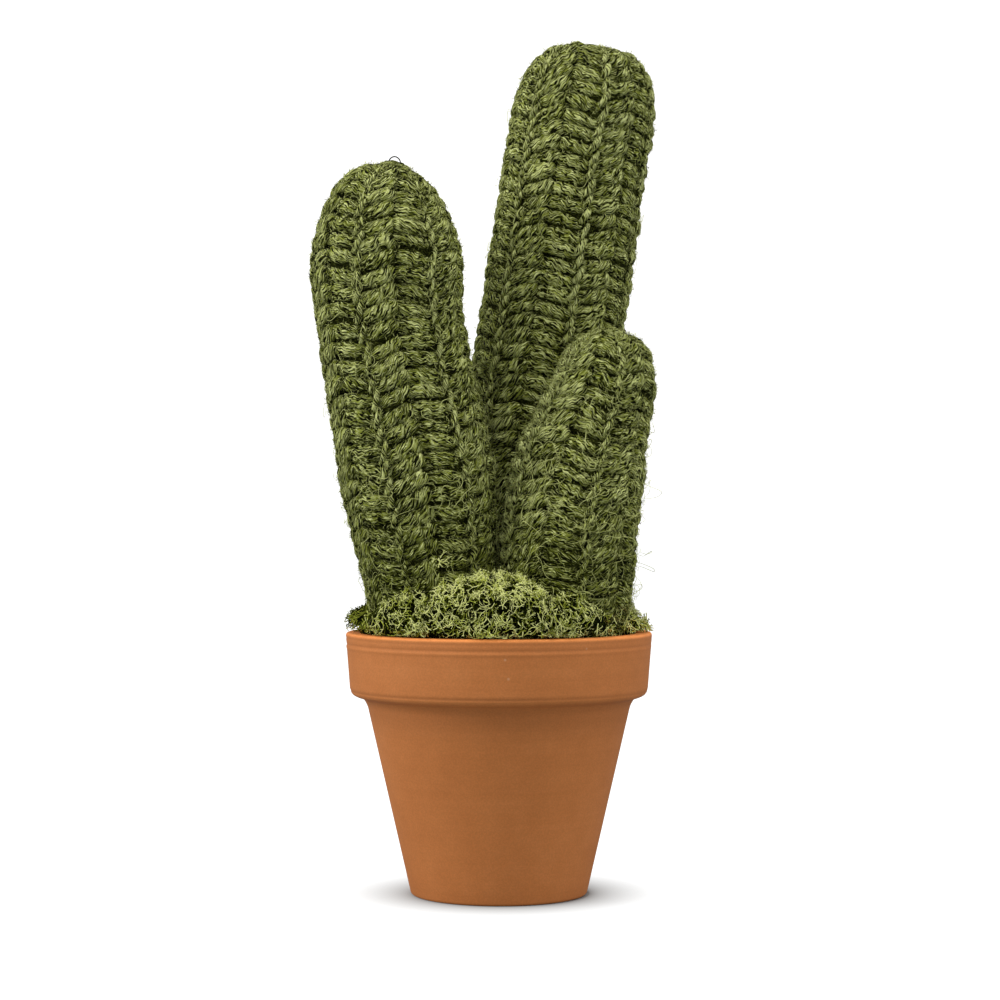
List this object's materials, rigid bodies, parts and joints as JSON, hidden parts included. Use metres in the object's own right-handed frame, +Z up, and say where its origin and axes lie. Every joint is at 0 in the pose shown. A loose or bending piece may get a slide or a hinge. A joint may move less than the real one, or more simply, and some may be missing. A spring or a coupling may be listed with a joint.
{
  "type": "crocheted cactus in terracotta pot",
  "caption": "Crocheted and stuffed cactus with ribbed leaning stems, standing in a rimmed terracotta flowerpot dressed with reindeer moss.",
  "frame": {"origin": "middle of the model's footprint, on the surface that the pot stands on", "axes": "+Z up along the pot's axis, -Y towards the front, +X to the right as seen from the front"},
  "size_m": [0.1289, 0.1148, 0.3225],
  "materials": {
    "terracotta": "matt",
    "foam": "matt",
    "yarn": "matt",
    "stuffing": "matt",
    "stake_wood": "matt",
    "moss": "matt"
  },
  "bodies": {
    "root": {"pot": "terracotta", "foam_block": "foam", "crochet_left": "yarn", "crochet_tall": "yarn", "crochet_small": "yarn", "stuffing_left": "stuffing", "stuffing_tall": "stuffing", "stuffing_small": "stuffing", "stake_left": "stake_wood", "stake_tall": "stake_wood", "stake_small": "stake_wood", "moss_front": "moss", "moss_front_right": "moss", "moss_right": "moss", "moss_back_right": "moss", "moss_back": "moss", "moss_back_left": "moss", "moss_left": "moss", "moss_front_left": "moss"}
  },
  "joints": []
}
